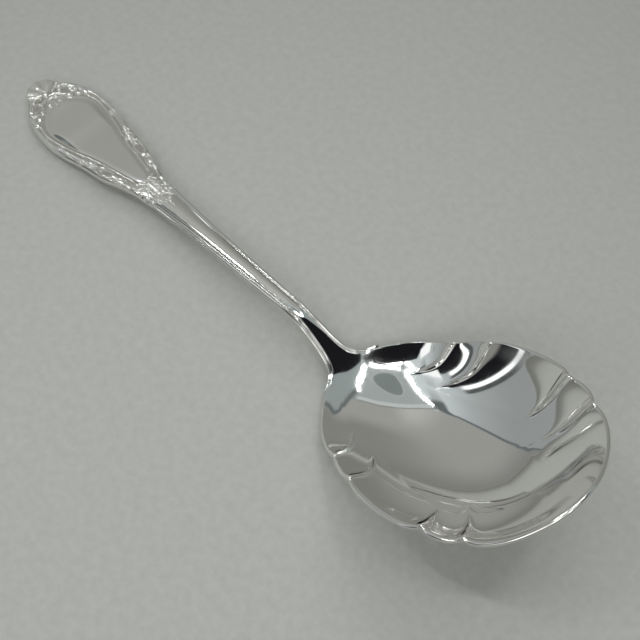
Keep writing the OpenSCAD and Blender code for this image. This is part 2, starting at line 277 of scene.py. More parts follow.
def bowl():
    lobe, where = [], []
    full = np.concatenate([np.array(l if i == 0 else l[1:], float) for i, l in enumerate(LINE)])
    chord = np.concatenate([[0], np.cumsum(np.sqrt(np.linalg.norm(np.diff(full, axis=0), axis=1)))])
    both = np.concatenate([full, full[-2::-1] * [1, -1]])       # over the tip, so that it rounds smoothly
    chord2 = np.concatenate([chord, 2 * chord[-1] - chord[-2::-1]])
    line_s, line_w = spline(list(zip(chord2, both[:, 0]))), spline(list(zip(chord2, both[:, 1])))
    rim, env, num = [], [], []
    at = 0
    for i, pts in enumerate(LOBES):
        n = STEPS[i]
        t = np.arange(n + (i == 4)) / n
        ends = 0.62 if i < 4 else 0.0
        q = t - ends * np.sin(2 * math.pi * t) / (2 * math.pi)
        p = np.array(pts, float)
        if i == 4:
            p2 = np.concatenate([p, p[-2::-1] * [1, -1]])
            rim.append(curve(p2, q / 2))
        else:
            rim.append(curve(p, q))
        c0, c1 = chord[at], chord[at + len(pts) - 1]
        c = c0 + (c1 - c0) * q
        env.append(np.stack([line_s(c), line_w(c)], -1))
        num.append(i + q)
        at += len(pts) - 1
    rim, env, num = np.concatenate(rim), np.concatenate(env), np.concatenate(num)
    rim[-1] = env[-1] = (211, 0)
    rim[0] = env[0]
    # the outline is the outer edge of the metal, so the inside stops short of it
    tan = np.gradient(env, axis=0)
    tan /= np.linalg.norm(tan, axis=1, keepdims=True)
    tan[-1] = (0, -1)
    inset = np.stack([-tan[:, 1], tan[:, 0]], -1) * (1.25 * smooth(num / 0.5))[:, None]
    K = len(num)
    NR = 60
    r = 1 - (1 - np.arange(NR + 1) / NR) ** 1.3
    foot, bow = FOOT(num)[:, None], BOW(num)[:, None]
    fw, fh = FLARE_W(num)[:, None], FLARE_H(num)[:, None]
    R = r[None, :]
    x = np.clip((R - 0.45) / 0.55, 0, 1)
    s = foot + (env[:, :1] - foot) * R + bow * np.sin(math.pi * x) ** 1.3
    w = env[:, 1:] * R
    length = np.hypot(env[:, :1] - foot, env[:, 1:])
    d = (1 - R) * length
    z = upper(s, w) + fh * R**8 - fh * np.clip(1 - d / fw, 0, 1) ** 3
    s, w = s - inset[:, :1] * R**2, w - inset[:, 1:] * R**2
    # lobes: the swell keeps its slope at the ridges and narrows towards their inner ends
    frac = num - np.floor(num)
    inner = spline([[0, 0.5], [1, 0.48], [2, 0.46], [3, 0.6], [4, 0.5], [5, 0.5]])(num)[:, None]
    T = np.clip((R - inner) / (1 - inner), 0, 1) ** 0.85
    T = np.maximum(T, 0.03)
    f = frac[:, None]
    part = np.clip(9 - 1 / T, 0, 8) / 8
    v = 1 - 2 * f
    half = 0.5 - 0.5 * (part * v + (1 - part) * v**9)
    half = np.where(num[:, None] >= 4, f, half)
    half = np.where(num[:, None] < 1, f + (half - f) * smooth((f - 0.5) / 0.35), half)
    base = np.floor(np.minimum(num, 4.9999))
    sw_s, sw_w = np.zeros_like(s), np.zeros_like(s)
    for i in range(5):
        sel = base == i
        src = np.where(sel)[0]
        end = min(src[-1] + 1, K - 1)
        idx = np.append(src, end)
        fr = np.append(frac[src], 1.0) if i < 4 else np.append(num[src] - 4, 1.0)
        dv = rim[idx] - env[idx]
        dv[-1] = 0
        hh = (half if i < 4 else np.broadcast_to((num - 4)[:, None], half.shape))[sel]
        sw_s[sel] = np.interp(hh, fr, dv[:, 0])
        sw_w[sel] = np.interp(hh, fr, dv[:, 1])
    fade = np.where(T <= 0.03, 0, T)
    s = s + sw_s * fade
    w = w + sw_w * fade
    # the lobes are hollowed a little between their ridges, and each ridge has a rounded crest
    u = np.clip((f - 0.45) / 0.55, 0, 1)
    dip = np.select([base[:, None] == 0, base[:, None] == 1, base[:, None] == 2, base[:, None] == 3],
                    [0.55 * 5 * u * u * (1 - u), 0.30 * np.sin(math.pi * half), 0.22 * np.sin(math.pi * half), 0.28 * np.sin(math.pi * half)], 0.0)
    z = z - dip * fade**2
    spot = np.stack([s, w, z], -1)
    for at, tall, start in zip(np.cumsum(STEPS[:4]), (0.52, 0.56, 0.48, 0.50), (0.52, 0.50, 0.60, 0.55)):
        dist = np.linalg.norm(spot - spot[at][None], axis=-1)
        z = z + tall * smooth((R - start) / 0.2) * np.exp(-((dist / 0.72) ** 2))
    inner_skin = np.stack([s, w, z], -1)
    # outside: the inside moved along the plain basin's normal
    h = 0.05
    se, we = foot + (env[:, :1] - foot) * R, env[:, 1:] * R
    gs = (upper(se + h, we) - upper(se - h, we)) / (2 * h)
    gw = (upper(se, we + h) - upper(se, we - h)) / (2 * h)
    nn = np.stack([-gs, -gw, np.ones_like(gs)], -1)
    nn /= np.linalg.norm(nn, axis=-1, keepdims=True)
    neck = smooth(1 - (se - 138.5) / 12)
    thick = 1.5 - 0.35 * smooth((R - 0.75) / 0.25) + 0.7 * neck
    nn = nn * (1 - neck[..., None]) + np.array([0, 0, 1.0]) * neck[..., None]
    nn /= np.linalg.norm(nn, axis=-1, keepdims=True)
    outer_skin = inner_skin - nn * thick[..., None]
    outer_skin[..., 2] = np.maximum(outer_skin[..., 2], 0.0)
    # rounded edge of the lip
    along = inner_skin[:, -1] - inner_skin[:, -3]
    along /= np.linalg.norm(along, axis=-1, keepdims=True)
    mid, rad = (inner_skin[:, -1] + outer_skin[:, -1]) / 2, np.linalg.norm(inner_skin[:, -1] - outer_skin[:, -1], axis=-1)[:, None] / 2
    up = (inner_skin[:, -1] - outer_skin[:, -1]) / (2 * rad)
    a = np.radians(np.arange(20, 180, 20))
    roll = mid[:, None] + rad[:, None] * (np.cos(a)[None, :, None] * up[:, None] + 0.8 * np.sin(a)[None, :, None] * along[:, None])
    prof = np.concatenate([inner_skin, roll, outer_skin[:, ::-1]], 1)       # from the middle out over the lip and back
    M = prof.shape[1]
    mirror = prof * [1, -1, 1]
    # one closed loop at each station: + side out and back, then - side; the last station is folded on the middle plane
    verts = [prof[:-1].reshape(-1, 3), mirror[:-1, 1:-1].reshape(-1, 3), prof[-1] * [1, 0, 1]]
    V = np.concatenate(verts)
    nP, nM = (K - 1) * M, (K - 1) * (M - 2)

    def P(k, j):
        return k * M + j if k < K - 1 else nP + nM + j

    def N(k, j):
        if k == K - 1:
            return nP + nM + j
        return k * M + j if j in (0, M - 1) else nP + k * (M - 2) + j - 1
    faces = []
    for k in range(K - 1):
        for j in range(M - 1):
            faces.append((P(k, j), P(k + 1, j), P(k + 1, j + 1), P(k, j + 1)))
            faces.append((N(k, j), N(k, j + 1), N(k + 1, j + 1), N(k + 1, j)))
    faces.append([P(0, j) for j in range(M)] + [N(0, j) for j in range(M - 2, 0, -1)])
    ob = make("spoon_bowl", V, faces, POLISHED, 60)
    attribute(ob, "hollow", np.zeros(len(V)))
    piece(ob, "bowl")
    return ob


bowl()


# ---------------------------------------------------------------- stem and handle
def section(s, hw, top, bottom, n_top, edge):
    """One ring of a bar: over the top from -w to +w, down the rounded side and back along the underside."""
    t = np.sin(np.linspace(-1, 1, n_top) * math.pi / 2 * 0.985) / math.sin(math.pi / 2 * 0.985)
    w = t * (hw - edge)
    zt = top(np.full_like(w, s), w)
    ring = [np.stack([np.full_like(w, s), w, zt], -1)]
    ze = zt[-1]
    h = max(ze - bottom, 0.4)
    a = np.linspace(0, 1, 12)[1:]
    side_w = hw - edge + edge * np.sin(a * math.pi * 0.5)
    e2 = min(edge, h * 0.3)
    down = [(hw - edge + edge * math.sin(x), ze - e2 * (1 - math.cos(x))) for x in np.linspace(0, math.pi / 2, 6)[1:]]
    lift = 0.42 * h
    down += [(hw - 0.02, ze - e2 - (h - e2 - lift) * 0.5)]
    down += [(hw * 0.62 + hw * 0.38 * math.cos(x), bottom + lift - lift * math.sin(x)) for x in np.linspace(0, math.pi / 2, 8)]
    down += [(hw * f, bottom) for f in (0.4, 0.2, 0.0)]
    right = np.array([(s, a, b) for a, b in down])
    left = right[-2::-1] * [1, -1, 1]
    ring += [right, left]
    return np.concatenate(ring)


def stem():
    ss = np.concatenate([np.linspace(62, 112, 90), np.linspace(112, 138.5, 90)[1:]])
    rings = np.array([section(s, float(STEM_HW(s)), upper, float(UNDER(s)), 41, 0.5) for s in ss])
    n, m = rings.shape[:2]
    faces = ring_faces(n, m)
    faces.append(list(range(m))[::-1])
    faces.append([(n - 1) * m + i for i in range(m)])
    faces = [f[::-1] for f in faces]
    ob = make("spoon_stem", rings.reshape(-1, 3), faces, POLISHED)
    attribute(ob, "hollow", np.zeros(n * m))
    piece(ob, "stem")


stem()


def strip(path, profile, height, sink=0.35):
    """A moulding that follows a plan path on the upper side. profile(v) gives (offset to the left, height) pairs from one edge to the other."""
    t = np.gradient(path, axis=0)
    t /= np.linalg.norm(t, axis=1, keepdims=True)
    nrm = np.stack([-t[:, 1], t[:, 0]], -1)
    v, h = profile
    rings = []
    for k in range(len(path)):
        sw = path[k] + nrm[k] * v[:, None]
        z0 = upper(sw[:, 0], sw[:, 1])
        top = np.stack([sw[:, 0], sw[:, 1], z0 - 0.06 + h * height[k]], -1)
        low = np.stack([sw[:, 0], sw[:, 1], z0 - sink], -1)[::-1]
        rings.append(np.concatenate([top, low]))
    rings = np.array(rings)
    n, m = rings.shape[:2]
    faces = ring_faces(n, m)
    faces.append(list(range(m))[::-1])
    faces.append([(n - 1) * m + i for i in range(m)])
    return rings.reshape(-1, 3), faces


def stem_rails():
    edge = [[59.5, 3.75], [64, 3.45], [72, 2.95], [80, 2.53], [88, 2.24], [100, 1.95], [108, 1.77], [116, 1.63], [122, 1.68], [128, 2.03], [132, 2.45],
            [135.4, 3.25], [137.6, 4.6], [138.9, 6.3], [140.0, 8.1], [141.2, 10.3]]
    path = curve(edge, np.linspace(0, 1, 260))
    u = np.linspace(0, 1, 260)
    v = np.linspace(-0.68, 0.68, 33)
    x = (v + 0.68) / 0.68
    h = 1 - (2 * (x - np.floor(np.minimum(x, 1.999))) - 1) ** 2
    h = np.where(np.abs(v) < 0.34, 0.34 + 0.66 * h, h)
    height = 0.36 *smooth(u / 0.03) * (1 - smooth((u - 0.86) / 0.13))
    vs, fs = [], []
    for side in (1, -1):
        a, f = strip(path * [1, side], (v, h if side > 0 else h[::-1]), height)
        fs += [[i + sum(len(b) for b in vs) for i in g] for g in f]
        vs.append(a)
    V = np.concatenate(vs)
    fs = [f[::-1] for f in fs]
    ob = make("spoon_stem_rails", V, fs, POLISHED)
    attribute(ob, "hollow", np.zeros(len(V)))
    piece(ob, "stem_rails")


stem_rails()

HANDLE_HW = spline([[0, 0.6], [0.25, 1.7], [1.2, 3.3], [3, 4.7], [5.2, 6.0], [6.2, 6.7], [8, 8.1], [10, 9.4], [13, 10.6], [17, 11.4], [22, 11.8],
                    [26, 11.7], [30, 11.1], [35, 10.1], [40, 9.3], [44, 8.8], [47, 8.1], [50, 7.1], [53, 6.3], [56, 5.5], [59, 5.0], [62, 4.7]])
PANEL_HW = smoothed([[6, -1.5], [8, 0.0], [11, 2.6], [14, 5.8], [17, 8.0], [20, 8.8], [24, 8.5], [28, 7.8], [32, 7.0], [36, 5.8], [40, 4.8],
                     [44, 4.1], [48, 3.4], [52, 2.6], [55, 1.8], [57, 0.6], [60, -1.5], [64, -3]], 0.6)
PLATE = smoothed([[0, 2.4], [6, 2.9], [12, 3.1], [20, 3.3], [28, 3.8], [36, 4.6], [44, 5.4], [52, 6.05], [58, 6.5], [62, 6.75], [70, 7.4]], 1.2)


def plate_top(s, w):
    """Upper side of the handle: a border that falls off at the edge, round a low pillow of a panel."""
    s, w = np.asarray(s, float), np.abs(np.asarray(w, float))
    hw = HANDLE_HW(s)
    slope = (HANDLE_HW(s + 0.1) - HANDLE_HW(s - 0.1)) / 0.2
    gap = np.maximum((hw - w) / np.sqrt(1 + slope**2), 0)
    e = 0.8
    z = PLATE(s) + RISE(s) * w * w * smooth((s - 52) / 10) - e * (1 - np.sqrt(np.clip(1 - (1 - np.clip(gap / e, 0, 1)) ** 2, 0, 1)))
    p = PANEL_HW(s)
    pslope = (PANEL_HW(s + 0.1) - PANEL_HW(s - 0.1)) / 0.2
    inside = (p - w) / np.sqrt(1 + np.clip(pslope, -1.6, 1.6) ** 2)
    sunk = smooth((inside + 0.4) / 0.9)
    x = np.clip(inside, 0, 9)
    flank = 1.9 - 1.2 * smooth((s - 22) / 12)
    pillow = (0.24 + 0.15 * smooth((s - 15) / 12)) *(x - 0.2 * np.log1p(np.exp((x - flank) / 0.2)))
    return z - 0.14 * sunk + sunk * pillow


def handle_plate():
    ss = np.concatenate([[0.21, 0.27, 0.36, 0.48, 0.62, 0.8], np.linspace(1.0, 16, 76), np.linspace(16, 62, 150)[1:]])
    nt = 111
    rings = []
    for s in ss:
        hw, bottom = float(HANDLE_HW(s)), max(float(UNDER(s)), 0.0)
        t = np.linspace(-1, 1, nt)
        t = np.sign(t) * (1 - (1 - np.abs(t)) ** 1.25)
        w = t * hw
        zt = plate_top(np.full(nt, s), w)
        ze = zt[-1]
        h = max(ze - bottom, 0.3)
        side = [(hw, ze - h * f) for f in (0.25, 0.5)]
        side += [(hw - min(1.1, hw * 0.6) * (1 - math.cos(a)), bottom + 0.45 * h * (1 - math.sin(a))) for a in np.linspace(0, math.pi / 2, 7)]
        side += [(max(hw - 1.1, hw * 0.4) * f, bottom - 0.0) for f in (0.75, 0.5, 0.25, 0.0)]
        right = np.array([(s, a, b) for a, b in side])
        rings.append(np.concatenate([np.stack([np.full(nt, s), w, zt], -1), right, right[-2::-1] * [1, -1, 1]]))
    rings = np.array(rings)
    n, m = rings.shape[:2]
    faces = ring_faces(n, m)
    faces.append(list(range(m))[::-1])
    faces.append([(n - 1) * m + i for i in range(m)])
    faces = [f[::-1] for f in faces]
    V = rings.reshape(-1, 3)
    ob = make("spoon_handle_plate", V, faces, POLISHED)
    p, w = PANEL_HW(V[:, 0]), np.abs(V[:, 1])
    # the border ground under the relief takes the darker hollow tone: partly tarnish, partly painted shade
    border = smooth((w - p + 0.3) / 0.5) * smooth((HANDLE_HW(V[:, 0]) - w - 0.15) / 0.5) * (V[:, 2] > UNDER(V[:, 0]) + 1.2) * smooth((61 - V[:, 0]) / 4)
    attribute(ob, "hollow", border * 0.6)
    piece(ob, "handle_plate")


handle_plate()


# ---------------------------------------------------------------- relief
def ground(s, w):
    """What the relief stands on: the handle, then the stem."""
    s, w = np.asarray(s, float), np.asarray(w, float)
    return np.where(s < 61.9, plate_top(np.minimum(s, 61.9), w), upper(s, w))


def stroke(S, W, points, w0, w1, h0, h1, closed=False, n=90, groove=0.0):
    """Height of a half-round stroke along a plan curve; below zero outside it."""
    pts = np.array(points, float)
    if closed:
        pts = np.concatenate([pts, pts[:1]])
    c = curve(pts, np.linspace(0, 1, n))
    best, par = np.full(S.shape, 1e9), np.zeros(S.shape)
    for k in range(n - 1):
        a, d = c[k], c[k + 1] - c[k]
        t = np.clip(((S - a[0]) * d[0] + (W - a[1]) * d[1]) / max(d @ d, 1e-12), 0, 1)
        q = (S - a[0] - t * d[0]) ** 2 + (W - a[1] - t * d[1]) ** 2
        m = q < best
        best = np.where(m, q, best)
        par = np.where(m, (k + t) / (n - 1), par)
    dist = np.sqrt(best)
    half = (w0 + (w1 - w0) * par) / 2
    hh = 0.85 * (h0 + (h1 - h0) * par)
    x = dist / half
    dome = np.sqrt(np.clip(1 - x * x, 0, 1)) - groove * np.exp(-((x / 0.28) ** 2))
    return np.where(x < 1, hh * dome, -(dist - half) * 1.2)


def blob(S, W, s, w, rs, rw, h, turn=0.0):
    c, n = math.cos(turn), math.sin(turn)
    a, b = (S - s) * c + (W - w) * n, -(S - s) * n + (W - w) * c
    x = np.sqrt((a / rs) ** 2 + (b / rw) ** 2)
    return np.where(x < 1, h * np.sqrt(np.clip(1 - x * x, 0, 1)), -(x - 1) * min(rs, rw) * 1.2)


def relief(name, node_name, patches, height):
    """A closed piece whose top is the ground plus height(S, W), kept only where it stands above the ground."""
    V, F, D = [], [], []
    for S, W in patches:
        h = height(S, W)
        g = ground(S, W)
        n, m = S.shape
        top = np.stack([S, W, g + np.maximum(h, -0.12) - 0.03], -1).reshape(-1, 3)
        low = np.stack([S, W, g - 0.4], -1).reshape(-1, 3)
        keep = (h > -0.07)
        cell = keep[:-1, :-1] | keep[1:, :-1] | keep[:-1, 1:] | keep[1:, 1:]
        idx = np.arange(n * m).reshape(n, m)
        quads = np.stack([idx[:-1, :-1], idx[1:, :-1], idx[1:, 1:], idx[:-1, 1:]], -1)[cell]
        edges = {}
        for q in quads.tolist():
            for a, b in zip(q, q[1:] + q[:1]):
                if (b, a) in edges:
                    del edges[(b, a)]
                else:
                    edges[(a, b)] = True
        N = n * m
        faces = quads.tolist() + [[N + i for i in q[::-1]] for q in quads.tolist()] + [[b, a, N + a, N + b] for a, b in edges]
        used = np.unique(np.array([i for f in faces for i in f]))
        back = np.full(2 * N, -1)
        off = sum(len(v) for v in V)
        back[used] = np.arange(len(used)) + off
        V.append(np.concatenate([top, low])[used])
        D.append(np.concatenate([h.ravel(), np.full(N, -1.0)])[used])
        F += [[int(back[i]) for i in f] for f in faces]
    V, D = np.concatenate(V), np.concatenate(D)
    ob = make(name, V, F, RELIEF, 75)
    # low flanks where the relief meets its ground take the darker hollow tone: partly tarnish, partly painted shade
    attribute(ob, "hollow", smooth((0.22 - D) / 0.3))
    piece(ob, node_name)
    return ob


def patch(s0, s1, w0, w1, step):
    s, w = np.arange(s0, s1 + step / 2, step), np.arange(w0, w1 + step / 2, step)
    return np.meshgrid(s, w, indexing="ij")


def inside_plate(S, W, h, margin=0.15):
    """Keeps a motif on the handle."""
    hw = HANDLE_HW(np.minimum(S, 62)) - margin
    return np.minimum(h, (hw - np.abs(W)) * 2.2)


def crest(S, W):
    A = np.abs(W)
    # a fan of flutes at the tip
    ds, dw = 7.4 - S, W
    ang, rad = np.arctan2(dw, np.maximum(ds, 1e-6)), np.hypot(ds, dw)
    wave = 0.5 + 0.5 * np.cos(ang * 10.2)
    lim = 6.75 - 1.76 * (1 - np.cos(ang)) + 0.2 * wave
    fan = 0.34 + 0.30 * smooth((rad - 1.5) / 3.5) * wave
    shape = np.minimum(np.sqrt(np.clip((lim - rad) / 0.9, 0, 1)) * 1.1 - (rad > lim) * (rad - lim), (rad - 1.3) * 1.2)
    shape = np.minimum(shape, (1.06 - np.abs(ang)) * rad * 1.2)
    h = np.minimum(fan, shape)
    # curled scrolls on both sides of the fan
    h = np.maximum(h, stroke(S, A, [[7.0, 2.2], [6.1, 3.6], [5.6, 4.9], [6.3, 5.5], [7.2, 5.1], [7.0, 4.3]], 0.8, 0.7, 0.75, 0.7))
    # arch of a scroll beneath it, with its curled ends and two beads
    h = np.maximum(h, blob(S, A, 7.0, 0.0, 0.9, 1.3, 0.8))
    h = np.maximum(h, stroke(S, A, [[8.2, 0.0], [8.5, 1.7], [9.5, 3.2], [10.9, 4.2], [12.2, 5.1]], 1.0, 0.8, 0.7, 0.6))
    h = np.maximum(h, blob(S, A, 12.1, 5.1, 1.0, 0.9, 0.8, 0.6))
    h = np.maximum(h, blob(S, A, 7.1, 4.9, 1.0, 0.9, 0.85, 0.8))
    h = np.maximum(h, blob(S, A, 8.6, 3.9, 0.6, 0.6, 0.7))
    h = np.maximum(h, stroke(S, A, [[9.0, 0.0], [9.5, 1.3], [10.4, 2.0]], 0.7, 0.6, 0.4, 0.4))
    h = np.maximum(h, blob(S, A, 11.25, 2.1, 0.95, 0.9, 0.75))
    return inside_plate(S, W, h)


relief("spoon_crest_shell", "crest_shell", [patch(0.1, 13.4, -6.6, 6.6, 0.11)], crest)


def scrolls(S, W):
    A = np.abs(W)
    h = np.full(S.shape, -1.0)

    def add(*args, **kw):
        nonlocal h
        h = np.maximum(h, stroke(S, A, *args, **kw))

    def dot(*args):
        nonlocal h
        h = np.maximum(h, blob(S, A, *args))
    # shoulder scrolls beside the crest
    add([[6.3, 4.7], [7.3, 5.9], [8.6, 7.3], [10.2, 8.2], [11.6, 7.9], [11.7, 6.8], [10.7, 6.5]], 1.2, 0.8, 0.75, 0.6)
    dot(9.7, 7.6, 1.25, 1.1, 0.78, 0.8)
    add([[11.0, 9.0], [12.6, 9.3], [14.5, 9.4]], 1.0, 1.6, 0.6, 0.8)
    dot(14.8, 9.4, 1.25, 1.1, 0.85, 0.3)
    dot(13.6, 7.5, 1.0, 0.9, 0.62, 0.7)
    # long leaf along the edge, twisted, and the small moulding round the panel
    add([[14.9, 10.2], [17, 10.75], [20, 11.1], [23, 11.2], [26, 11.0], [28.6, 10.5]], 1.1, 1.3, 0.6, 0.6)
    add([[16.4, 9.0], [19, 9.75], [22, 9.75], [25, 9.35], [28, 8.75], [31, 8.0], [34, 7.2], [37.0, 6.2]], 0.75, 0.65, 0.42, 0.4)
    add([[38.5, 5.85], [42, 4.95], [46, 4.3], [50, 3.55], [53.4, 2.8]], 0.6, 0.55, 0.35, 0.32)
    add([[26.8, 10.3], [29.5, 10.1], [32, 9.45], [34.9, 8.75]], 1.9, 1.2, 0.75, 0.7, groove=0.35)
    dot(27.0, 10.6, 1.0, 0.7, 0.8, -0.2)
    # oval C-scroll with an inner curl
    add([[41.0, 6.6], [41.4, 7.8], [43.0, 8.15], [45.2, 7.75], [47.1, 6.8], [47.6, 5.9], [46.6, 5.3], [44.6, 5.35], [42.8, 5.8], [42.3, 6.6], [43.2, 7.1]], 0.95, 0.7, 0.8, 0.6)
    dot(47.6, 5.8, 1.05, 0.95, 0.68)
    # second oval with a leaf in it
    add([[48.6, 6.8], [50.3, 6.55], [51.9, 5.95], [53.0, 5.1], [52.3, 4.35], [50.8, 4.55], [49.3, 5.2], [48.5, 6.0]], 0.75, 0.75, 0.65, 0.65, closed=True)
    dot(50.5, 5.6, 1.4, 0.75, 0.5, -0.35)
    dot(53.7, 5.3, 0.95, 0.85, 0.6)
    # last curl before the boss
    add([[54.5, 4.75], [55.9, 4.35], [57.0, 3.4], [57.1, 2.5], [56.3, 2.1], [55.3, 2.5], [55.2, 3.2]], 0.85, 0.6, 0.7, 0.55)
    return inside_plate(S, W, h)


relief("spoon_border_scrolls", "border_scrolls", [patch(5.4, 58.4, 1.6, 12.0, 0.13), patch(5.4, 58.4, -12.0, -1.6, 0.13)], scrolls)


def beads(S, W):
    A = np.abs(W)
    h = np.full(S.shape, -1.0)
    for s, w, r in ((36.2, 8.1, 0.9), (38.8, 7.35, 1.1), (36.3, 9.4, 0.6), (60.2, 3.75, 0.95), (62.8, 3.75, 0.9), (58.2, 4.1, 0.85),
                    (64.6, 2.6, 0.65), (65.6, 0.85, 0.7), (66.9, 0.0, 0.85), (68.6, 0.0, 0.6), (61.4, 2.75, 0.6)):
        h = np.maximum(h, blob(S, A, s, w, r, r, r * 0.85))
    h = np.maximum(h, stroke(S, A, [[37.5, 7.4], [38.0, 8.5], [39.2, 8.7], [40.2, 7.6], [39.6, 6.3], [38.2, 6.2]], 0.5, 0.5, 0.45, 0.45, closed=True))
    return h


relief("spoon_border_beads", "border_beads", [patch(35.4, 40.8, 5.6, 10.2, 0.11), patch(35.4, 40.8, -10.2, -5.6, 0.11), patch(57.2, 69.4, -5.2, 5.2, 0.11)], beads)


def lattice(S, W):
    A = np.abs(W)
    a, b = (S - 60.0 + W) / math.sqrt(2), (S - 60.0 - W) / math.sqrt(2)
    p = 1.25

    def bars(q):
        x = np.abs((q / p + 0.5) % 1 - 0.5) * p / 0.36
        return np.where(x < 1, 0.75 * np.sqrt(np.clip(1 - x * x, 0, 1)), 0.0)
    over = 0.12 * np.cos(math.pi * a / p) * np.cos(math.pi * b / p)
    weave = np.maximum(bars(a) + over, bars(b) - over)
    region = np.minimum((2.75 - A) * 1.0, np.minimum((S - 57.3), (63.4 - S)))
    h = np.where(region > 0, np.maximum(weave, 0.1), region)
    h = np.minimum(h, region * 2 + 0.1)
    # rings at the foot of the panel, and small end scrolls towards the stem
    h = np.maximum(h, stroke(S, A, [[55.2, 1.0], [55.6, 0.35], [56.4, 0.35], [56.9, 1.0], [56.4, 1.7], [55.6, 1.7]], 0.5, 0.5, 0.65, 0.65, closed=True))
    h = np.maximum(h, blob(S, A, 56.0, 1.0, 0.5, 0.5, 0.6))
    h = np.maximum(h, stroke(S, A, [[62.4, 2.6], [63.6, 2.7], [64.4, 2.1], [64.0, 1.4], [63.2, 1.4]], 0.65, 0.5, 0.6, 0.5))
    return h


relief("spoon_lattice_boss", "lattice_boss", [patch(54.4, 65.2, -3.4, 3.4, 0.10)], lattice)

# ---------------------------------------------------------------- floor, light and camera
PSI, ELEV, ROLL = math.radians(45.606), math.radians(62.605), -0.0055
right = np.array([math.cos(PSI), math.sin(PSI), 0])
away = np.array([-math.sin(PSI), math.cos(PSI), 0])

FLOOR_GREY = 0.505
mat = bpy.data.materials.new("floor_paper")
nt = nodes_of(mat)
out = node(nt, "ShaderNodeOutputMaterial")
bsdf = node(nt, "ShaderNodeBsdfPrincipled")
bsdf.inputs["Roughness"].default_value = 0.9
bsdf.inputs["Specular IOR Level"].default_value = 0.1
link(nt, bsdf.outputs[0], out.inputs[0])
tc = node(nt, "ShaderNodeTexCoord")
nz = node(nt, "ShaderNodeTexNoise")
nz.inputs["Scale"].default_value = 420.0
nz.inputs["Detail"].default_value = 5.0
link(nt, tc.outputs["Object"], nz.inputs["Vector"])
ramp = node(nt, "ShaderNodeValToRGB")
ramp.color_ramp.elements[0].position = 0.3
ramp.color_ramp.elements[0].color = (FLOOR_GREY * 0.93, FLOOR_GREY * 0.94, FLOOR_GREY * 0.90, 1)
ramp.color_ramp.elements[1].position = 0.7
ramp.color_ramp.elements[1].color = (FLOOR_GREY * 1.03, FLOOR_GREY * 1.04, FLOOR_GREY * 1.00, 1)
link(nt, nz.outputs["Fac"], ramp.inputs["Fac"])
# painted shade: the floor's colour darkens towards the back and well away from the spoon, standing in for the light
# falling off there
reach = node(nt, "ShaderNodeVectorMath", operation="DISTANCE")
reach.inputs[1].default_value = tuple(float(c) for c in -0.11 * away - 0.05 * right)
link(nt, tc.outputs["Object"], reach.inputs[0])
painted_falloff = node(nt, "ShaderNodeMapRange", interpolation_type="SMOOTHSTEP", in_1=0.06, in_2=0.46, in_3=0.0, in_4=0.8)
link(nt, reach.outputs["Value"], painted_falloff.inputs[0])
shade = node(nt, "ShaderNodeMix", data_type="RGBA")
shade.inputs["B"].default_value = (0.23, 0.23, 0.213, 1)
link(nt, painted_falloff.outputs[0], shade.inputs["Factor"])
link(nt, ramp.outputs["Color"], shade.inputs["A"])
link(nt, shade.outputs["Result"], bsdf.inputs["Base Color"])
me = bpy.data.meshes.new("floor")
me.from_pydata([(-6, -6, -0.0001), (6, -6, -0.0001), (6, 6, -0.0001), (-6, 6, -0.0001)], [], [(0, 1, 2, 3)])
me.materials.append(mat)
floor = bpy.data.objects.new("floor", me)
scene.collection.objects.link(floor)

# a light tent as the surroundings: grey sheet behind, white walls at the sides, a lamp frame overhead, open in front
world = bpy.data.worlds.new("tent")
scene.world = world
nt = nodes_of(world)
out = node(nt, "ShaderNodeOutputWorld")
bg = node(nt, "ShaderNodeBackground")
link(nt, bg.outputs[0], out.inputs[0])
tc = node(nt, "ShaderNodeTexCoord")


def dot(v):
    n = node(nt, "ShaderNodeVectorMath", operation="DOT_PRODUCT")
    n.inputs[1].default_value = tuple(float(c) for c in v)
    link(nt, tc.outputs["Generated"], n.inputs[0])
    return n.outputs["Value"]


def math_node(op, a, b=None):
    n = node(nt, "ShaderNodeMath", operation=op)
    for i, v in enumerate((a, b)):
        if v is None:
            continue
        if isinstance(v, (int, float)):
            n.inputs[i].default_value = v
        else:
            link(nt, v, n.inputs[i])
    return n.outputs[0]


def step(v, at, soft):
    n = node(nt, "ShaderNodeMapRange", interpolation_type="SMOOTHSTEP")
    n.inputs[1].default_value, n.inputs[2].default_value = at - soft, at + soft
    link(nt, v, n.inputs[0])
    return n.outputs[0]


def between(v, lo, hi, soft):
    return math_node("MULTIPLY", step(v, lo, soft), math_node("SUBTRACT", 1.0, step(v, hi, soft)))


def times(*vs):
    r = vs[0]
    for v in vs[1:]:
        r = math_node("MULTIPLY", r, v)
    return r


def lay(under, mask, colour):
    n = node(nt, "ShaderNodeMix", data_type="RGBA")
    link(nt, mask, n.inputs["Factor"])
    if isinstance(under, tuple):
        n.inputs["A"].default_value = (*under, 1)
    else:
        link(nt, under, n.inputs["A"])
    n.inputs["B"].default_value = (*colour, 1)
    return n.outputs["Result"]


dx, dy, dz = dot(right), dot(away), dot((0, 0, 1))
az = math_node("MULTIPLY", math_node("ARCTAN2", dx, dy), 180 / math.pi)
el = math_node("MULTIPLY", math_node("ARCSINE", dz), 180 / math.pi)
px = math_node("DIVIDE", dx, math_node("MAXIMUM", dz, 0.02))
py = math_node("DIVIDE", dy, math_node("MAXIMUM", dz, 0.02))

def line_of(v, gain, offset):
    """gain times v, plus offset."""
    return math_node("ADD", math_node("MULTIPLY", v, gain), offset)


def most(*vs):
    r = vs[0]
    for v in vs[1:]:
        r = math_node("MAXIMUM", r, v)
    return r


def unless(v):
    return math_node("SUBTRACT", 1.0, v)


SHEET = (0.34, 0.335, 0.315)
BLACK = (0.010, 0.010, 0.012)
# left wall, paler upwards, and right wall
col = lay((0.30, 0.32, 0.32), step(el, 20, 10), (0.38, 0.41, 0.415))
col = lay(col, step(el, 38, 12), (0.58, 0.645, 0.655))
col = lay(col, step(dx, 0.0, 0.02), (0.29, 0.335, 0.33))
